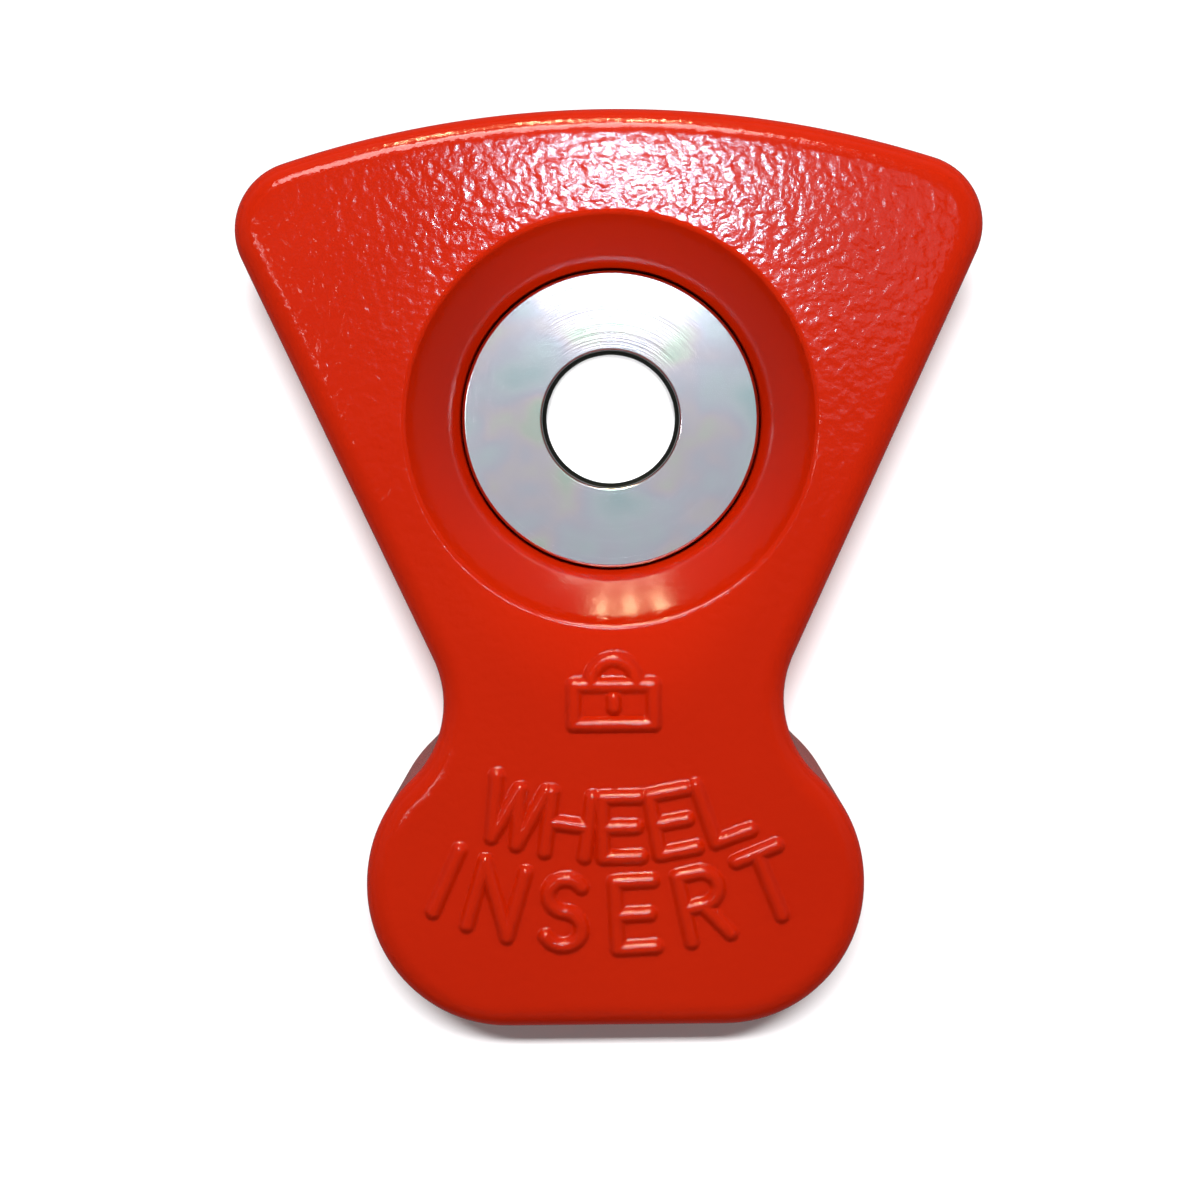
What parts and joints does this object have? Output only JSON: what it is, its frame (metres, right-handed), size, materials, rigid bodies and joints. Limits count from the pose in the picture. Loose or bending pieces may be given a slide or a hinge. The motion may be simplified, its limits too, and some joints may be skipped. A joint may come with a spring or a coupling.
{
  "type": "trailer wheel lock insert",
  "caption": "Fan-shaped red cast insert that fills the gap between wheel spokes, with a bowl and a free-spinning steel bush that the lock bolt passes through.",
  "frame": {"origin": "on the floor plane under the middle of the outline, with the insert lying on its rubber pads", "axes": "+Z out of the front face along the lock bolt, +Y from the rounded foot to the broad top, +X across"},
  "size_m": [0.1132, 0.139, 0.046],
  "materials": {
    "red_paint": "satin",
    "zinc_plate": "satin",
    "hard_steel": "satin",
    "dark_steel": "satin",
    "bronze": "satin",
    "black_rubber": "matte"
  },
  "bodies": {
    "insert_body": {"back_gasket": "black_rubber", "back_plate": "zinc_plate", "back_screw_1": "dark_steel", "back_screw_2": "dark_steel", "back_screw_3": "dark_steel", "back_screw_4": "dark_steel", "back_screw_5": "dark_steel", "back_screw_6": "dark_steel", "bearing_bush": "bronze", "body_casting": "red_paint", "lower_armour_plate": "hard_steel", "thrust_washer": "bronze", "upper_armour_plate": "hard_steel", "wheel_pad_1": "black_rubber", "wheel_pad_2": "black_rubber", "wheel_pad_3": "black_rubber", "wheel_pad_4": "black_rubber"},
    "spinning_bush": {"seat_ring": "zinc_plate", "bore_sleeve": "hard_steel", "retaining_ring": "dark_steel"}
  },
  "joints": [
    {"name": "bush_spin", "type": "hinge", "parent": "insert_body", "child": "spinning_bush", "pos_m": [0, 0.0225, 0.0325], "axis": [0, 0, 1], "continuous": true}
  ]
}
